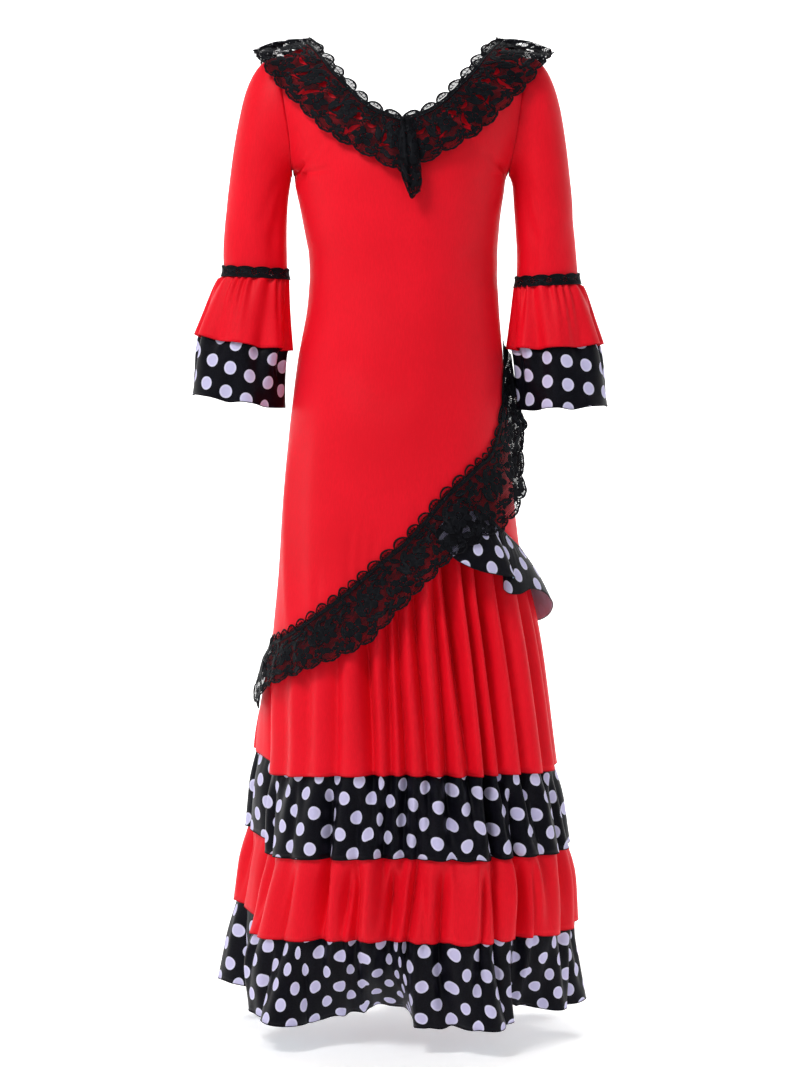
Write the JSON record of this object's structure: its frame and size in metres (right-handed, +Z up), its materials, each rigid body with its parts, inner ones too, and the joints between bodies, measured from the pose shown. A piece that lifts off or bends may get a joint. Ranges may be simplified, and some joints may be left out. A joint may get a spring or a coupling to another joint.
{
  "type": "child's flamenco dress",
  "caption": "Long fitted flamenco dress with a lace V neck, frilled sleeves, a slanted lace-edged hip seam and gathered red and dotted tiers.",
  "frame": {"origin": "midway between the neck points at shoulder height, where the wearer's shoulders hold the dress up", "axes": "+Z up, the front faces -Y, +X towards the wearer's left arm, which is the viewer's right"},
  "size_m": [0.4406, 0.2897, 1.0145],
  "materials": {
    "red_knit": "satin",
    "dotted_satin": "satin",
    "black_lace": "matte"
  },
  "bodies": {
    "root": {"cuff_dotted_ruffle_left": "dotted_satin", "cuff_dotted_ruffle_right": "dotted_satin", "cuff_red_ruffle_left": "red_knit", "cuff_red_ruffle_right": "red_knit", "hip_dotted_flounce": "dotted_satin", "hip_lace_back": "black_lace", "hip_lace_front": "black_lace", "neck_lace_back": "black_lace", "neck_lace_centre_pleat": "black_lace", "neck_lace_front": "black_lace", "sheath_back": "red_knit", "sheath_front": "red_knit", "sleeve_lace_band_left": "black_lace", "sleeve_lace_band_right": "black_lace", "sleeve_left": "red_knit", "sleeve_right": "red_knit", "tier1_red_back": "red_knit", "tier1_red_front": "red_knit", "tier2_dotted_back": "dotted_satin", "tier2_dotted_front": "dotted_satin", "tier3_red_back": "red_knit", "tier3_red_front": "red_knit", "tier4_dotted_back": "dotted_satin", "tier4_dotted_front": "dotted_satin"}
  },
  "joints": []
}
